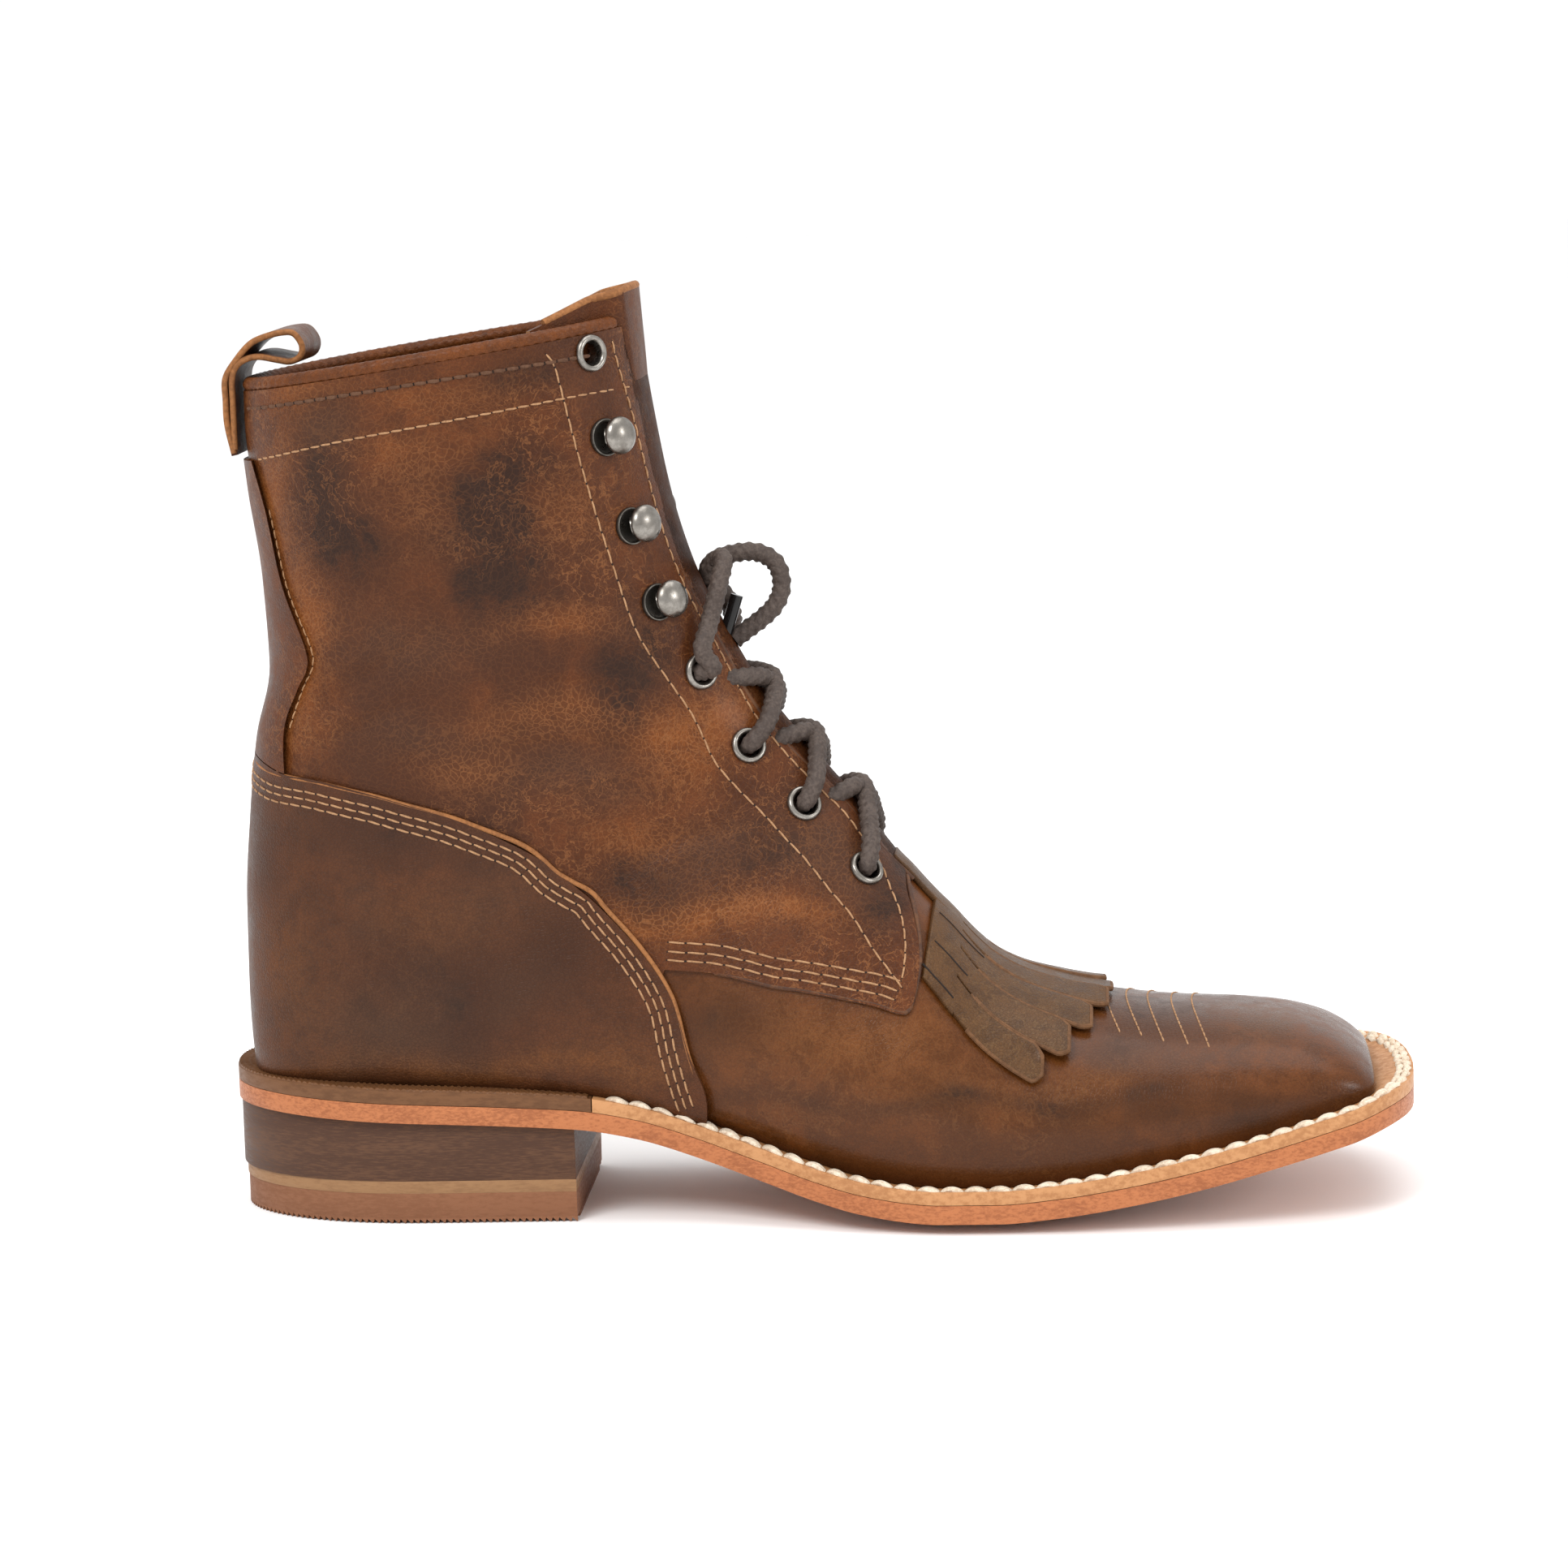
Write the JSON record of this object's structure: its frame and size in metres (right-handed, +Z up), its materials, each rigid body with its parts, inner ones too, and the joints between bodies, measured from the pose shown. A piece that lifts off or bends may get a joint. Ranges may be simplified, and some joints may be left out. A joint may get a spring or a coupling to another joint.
{
  "type": "lacer boot",
  "caption": "Right leather lacer boot with a square toe, a welted sole, a stacked heel, a fringed kiltie, a pull loop and laces through eyelets and hooks.",
  "frame": {"origin": "on the floor, under the middle of the boot's box", "axes": "+X to the toe, +Z up, +Y to the inner side of the foot"},
  "size_m": [0.305, 0.1064, 0.2352],
  "materials": {
    "upper_leather": "waxed pull-up leather, semi-gloss",
    "tongue_leather": "soft leather, satin",
    "kiltie_leather": "olive brown pull-up leather, satin",
    "binding_leather": "rolled binding, satin",
    "sole_leather": "trimmed edge, satin",
    "welt_leather": "trimmed edge, satin",
    "rand_leather": "grooved, satin",
    "insole_leather": "matt",
    "stack_board": "stacked board, satin",
    "heel_layer_leather": "satin",
    "top_lift_rubber": "matt",
    "nickel": "antique nickel plate",
    "lace_cord": "waxed braid",
    "tip_plastic": "gloss"
  },
  "bodies": {
    "root": {"outsole": "sole_leather", "welt": "welt_leather", "heel_rand": "rand_leather", "insole": "insole_leather", "heel_stack": "stack_board", "heel_layer": "heel_layer_leather", "top_lift": "top_lift_rubber", "upper": "upper_leather", "eyelet_outer_1": "nickel", "eyelet_inner_1": "nickel", "eyelet_outer_2": "nickel", "eyelet_inner_2": "nickel", "eyelet_outer_3": "nickel", "eyelet_inner_3": "nickel", "eyelet_outer_4": "nickel", "eyelet_inner_4": "nickel", "hook_outer_5": "nickel", "hook_inner_5": "nickel", "hook_outer_6": "nickel", "hook_inner_6": "nickel", "hook_outer_7": "nickel", "hook_inner_7": "nickel", "eyelet_outer_8": "nickel", "eyelet_inner_8": "nickel", "counter": "upper_leather", "back_stay": "upper_leather", "collar_binding": "binding_leather", "tongue": "tongue_leather", "kiltie": "kiltie_leather", "pull_loop": "upper_leather", "lace_crossing_1": "lace_cord", "lace_crossing_2": "lace_cord", "lace_crossing_3": "lace_cord", "lace_end_outer": "lace_cord", "lace_end_inner": "lace_cord", "lace_tip": "tip_plastic"}
  },
  "joints": []
}
